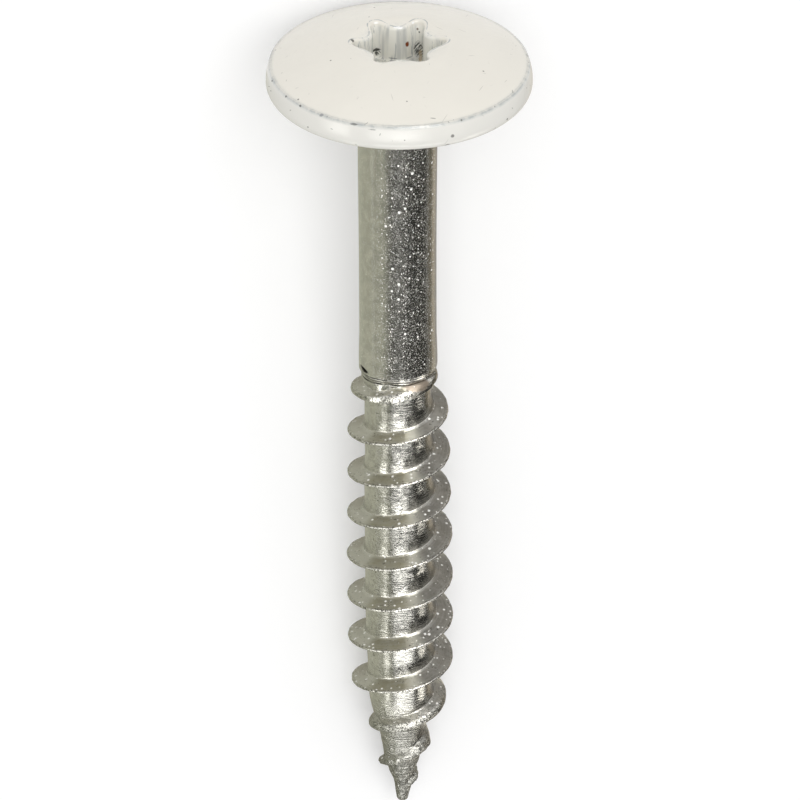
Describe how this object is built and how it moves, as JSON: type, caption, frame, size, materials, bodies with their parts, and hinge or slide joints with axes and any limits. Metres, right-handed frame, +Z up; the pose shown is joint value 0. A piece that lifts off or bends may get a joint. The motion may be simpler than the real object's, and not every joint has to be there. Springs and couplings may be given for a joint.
{
  "type": "painted head screw",
  "caption": "Wood screw with a wide, low, domed, painted head, a six-lobed recess, a plain shank, a coarse thread and a tapered point.",
  "frame": {"origin": "on the surface that the screw lies on, under the middle of its length", "axes": "+Z up from that surface, +Y along the screw from its point towards its head, +X across it; the screw's own axis rises towards the head by about 7 degrees"},
  "size_m": [0.012, 0.0408, 0.0119],
  "materials": {
    "steel": "satin rolled stainless steel with white overspray dots",
    "head_paint": "semi-gloss warm white enamel with fine scratches and dark specks"
  },
  "bodies": {
    "root": {"screw": "steel"}
  },
  "joints": []
}
